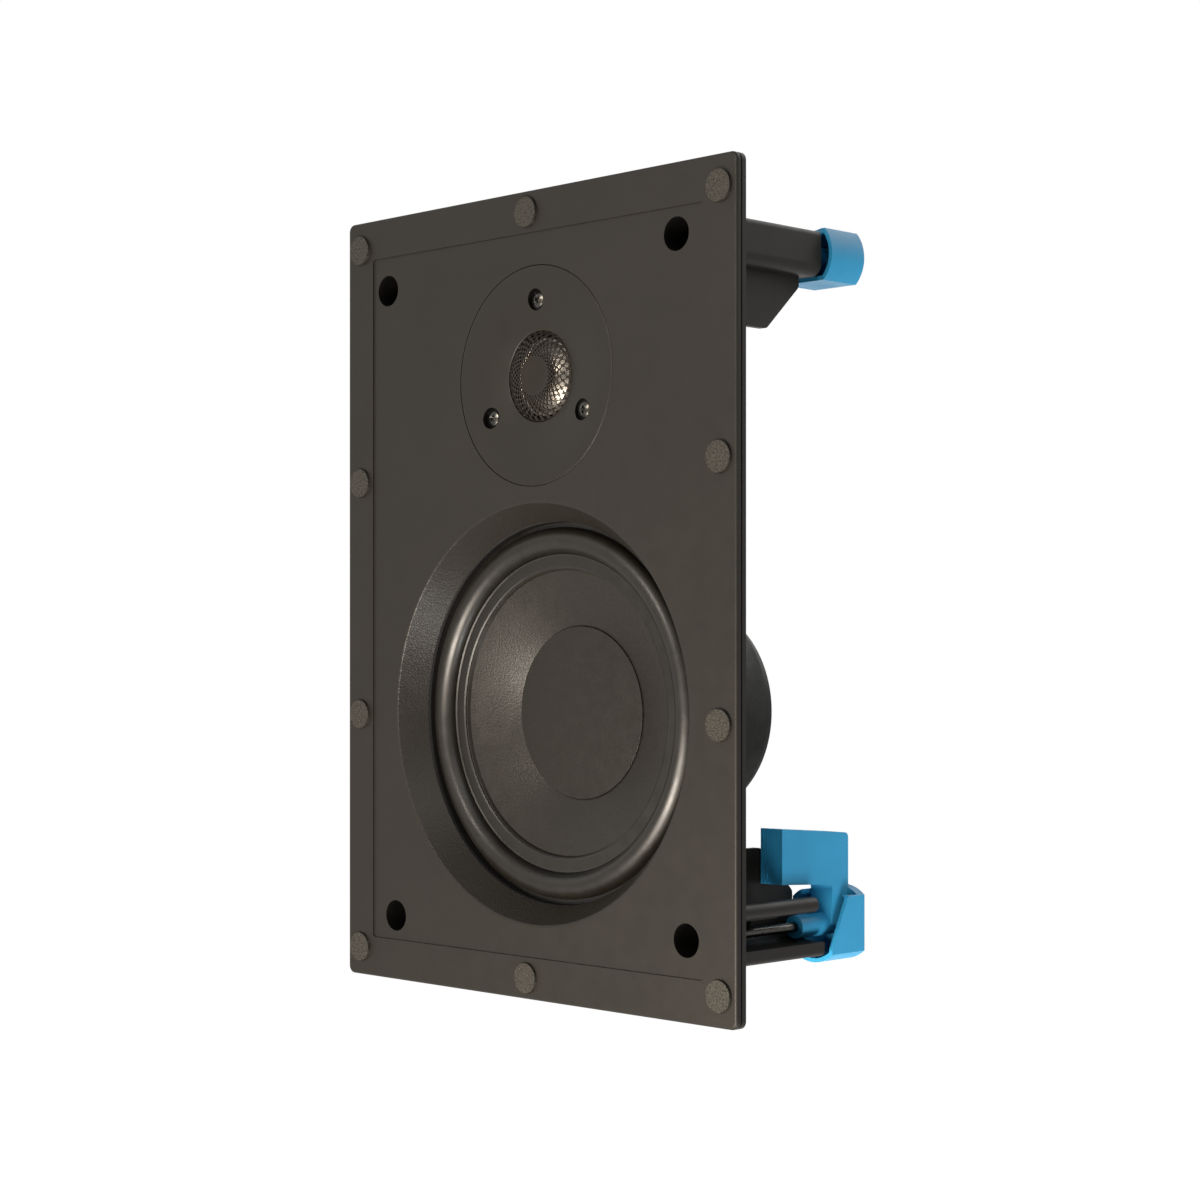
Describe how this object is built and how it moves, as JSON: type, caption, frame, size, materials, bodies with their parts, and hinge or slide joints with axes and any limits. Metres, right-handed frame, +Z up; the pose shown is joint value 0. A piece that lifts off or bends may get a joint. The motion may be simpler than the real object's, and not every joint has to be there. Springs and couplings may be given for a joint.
{
  "type": "in wall speaker",
  "caption": "Rectangular in-wall loudspeaker baffle with a flared woofer, a perforated-lens tweeter, a magnet-rimmed flange and swing-out clamp legs on towers behind it.",
  "frame": {"origin": "centre of the flange's back face, which rests on the wall", "axes": "+X to the right seen from the front, +Y from the front to the rear, +Z up"},
  "size_m": [0.216, 0.0949, 0.31],
  "materials": {
    "baffle_plastic": "fine matt texture",
    "magnet_plating": "dull nickel plating",
    "screw_steel": "black oxide",
    "clamp_plastic": "satin nylon",
    "gasket_foam": "matt foam",
    "basket_steel": "black powder coat",
    "surround_rubber": "semi-gloss",
    "cone_fibre": "satin",
    "coil_copper": "enamelled wire",
    "spider_cloth": "treated cloth",
    "plate_steel": "black plating",
    "ferrite": "matt",
    "face_plastic": "satin",
    "lens_metal": "gloss black",
    "dome_silk": "coated silk",
    "chamber_plastic": "matt",
    "board_laminate": "solder mask",
    "capacitor_sleeve": "shrink sleeve",
    "resistor_ceramic": "ceramic",
    "terminal_plastic": "satin",
    "button_red": "gloss"
  },
  "bodies": {
    "frame": {"baffle": "baffle_plastic", "grille_magnet_upper_left": "magnet_plating", "grille_magnet_upper_right": "magnet_plating", "grille_magnet_lower_left": "magnet_plating", "grille_magnet_lower_right": "magnet_plating", "grille_magnet_left_high": "magnet_plating", "grille_magnet_left_low": "magnet_plating", "grille_magnet_right_high": "magnet_plating", "grille_magnet_right_low": "magnet_plating", "grille_magnet_top": "magnet_plating", "grille_magnet_bottom": "magnet_plating", "woofer_gasket": "gasket_foam", "woofer_basket": "basket_steel", "woofer_surround": "surround_rubber", "woofer_spider": "spider_cloth", "woofer_front_plate": "plate_steel", "woofer_magnet": "ferrite", "woofer_back_plate": "plate_steel", "tweeter_face_plate": "face_plastic", "tweeter_lens": "lens_metal", "tweeter_surround": "dome_silk", "tweeter_pot": "plate_steel", "tweeter_pole_plate": "plate_steel", "tweeter_magnet": "magnet_plating", "tweeter_chamber": "chamber_plastic", "crossover_board": "board_laminate", "air_core_coil": "coil_copper", "bobbin_coil": "ferrite", "long_capacitor": "capacitor_sleeve", "short_capacitor": "capacitor_sleeve", "power_resistor": "resistor_ceramic", "terminal_block": "terminal_plastic", "woofer_screw_1": "screw_steel", "woofer_screw_2": "screw_steel", "woofer_screw_3": "screw_steel", "woofer_screw_4": "screw_steel", "tweeter_screw_1": "screw_steel", "tweeter_screw_2": "screw_steel", "tweeter_screw_3": "screw_steel", "board_screw_1": "screw_steel", "board_screw_2": "screw_steel"},
    "turret_lower_right": {"clamp_screw_lower_right": "screw_steel", "clamp_cap_lower_right": "clamp_plastic"},
    "leg_lower_right": {"clamp_leg_lower_right": "clamp_plastic"},
    "turret_upper_right": {"clamp_screw_upper_right": "screw_steel", "clamp_cap_upper_right": "clamp_plastic"},
    "leg_upper_right": {"clamp_leg_upper_right": "clamp_plastic"},
    "turret_upper_left": {"clamp_screw_upper_left": "screw_steel", "clamp_cap_upper_left": "clamp_plastic"},
    "leg_upper_left": {"clamp_leg_upper_left": "clamp_plastic"},
    "turret_lower_left": {"clamp_screw_lower_left": "screw_steel", "clamp_cap_lower_left": "clamp_plastic"},
    "leg_lower_left": {"clamp_leg_lower_left": "clamp_plastic"},
    "woofer_motion": {"woofer_cone": "cone_fibre", "woofer_dust_cap": "cone_fibre", "woofer_voice_coil": "coil_copper"},
    "tweeter_motion": {"tweeter_dome": "dome_silk", "tweeter_voice_coil": "coil_copper"},
    "red_button": {"red_button": "button_red"},
    "black_button": {"black_button": "terminal_plastic"}
  },
  "joints": [
    {"name": "swing_lower_right", "type": "hinge", "parent": "frame", "child": "turret_lower_right", "pos_m": [0.0832, 0.05, -0.1253], "axis": [0, 1, 0], "range_deg": [0, 90]},
    {"name": "draw_lower_right", "type": "slide", "parent": "turret_lower_right", "child": "leg_lower_right", "axis": [0, -1, 0], "range_m": [0, 0.029]},
    {"name": "swing_upper_right", "type": "hinge", "parent": "frame", "child": "turret_upper_right", "pos_m": [0.0783, 0.05, 0.1291], "axis": [0, 1, 0], "range_deg": [0, 90]},
    {"name": "draw_upper_right", "type": "slide", "parent": "turret_upper_right", "child": "leg_upper_right", "axis": [0, -1, 0], "range_m": [0, 0.029]},
    {"name": "swing_upper_left", "type": "hinge", "parent": "frame", "child": "turret_upper_left", "pos_m": [-0.0832, 0.05, 0.1253], "axis": [0, 1, 0], "range_deg": [0, 90]},
    {"name": "draw_upper_left", "type": "slide", "parent": "turret_upper_left", "child": "leg_upper_left", "axis": [0, -1, 0], "range_m": [0, 0.029]},
    {"name": "swing_lower_left", "type": "hinge", "parent": "frame", "child": "turret_lower_left", "pos_m": [-0.0783, 0.05, -0.1291], "axis": [0, 1, 0], "range_deg": [0, 90]},
    {"name": "draw_lower_left", "type": "slide", "parent": "turret_lower_left", "child": "leg_lower_left", "axis": [0, -1, 0], "range_m": [0, 0.029]},
    {"name": "cone_travel", "type": "slide", "parent": "frame", "child": "woofer_motion", "axis": [0, -1, 0], "range_m": [-0.004, 0.004], "stiffness_N_per_m": 1000, "deforming": ["woofer_surround", "woofer_spider"]},
    {"name": "dome_travel", "type": "slide", "parent": "frame", "child": "tweeter_motion", "axis": [0, -1, 0], "range_m": [-0.0003, 0.0003], "stiffness_N_per_m": 2000, "deforming": ["tweeter_surround"]},
    {"name": "red_button_press", "type": "slide", "parent": "frame", "child": "red_button", "axis": [0, -1, 0], "range_m": [0, 0.002], "stiffness_N_per_m": 400},
    {"name": "black_button_press", "type": "slide", "parent": "frame", "child": "black_button", "axis": [0, -1, 0], "range_m": [0, 0.002], "stiffness_N_per_m": 400}
  ]
}
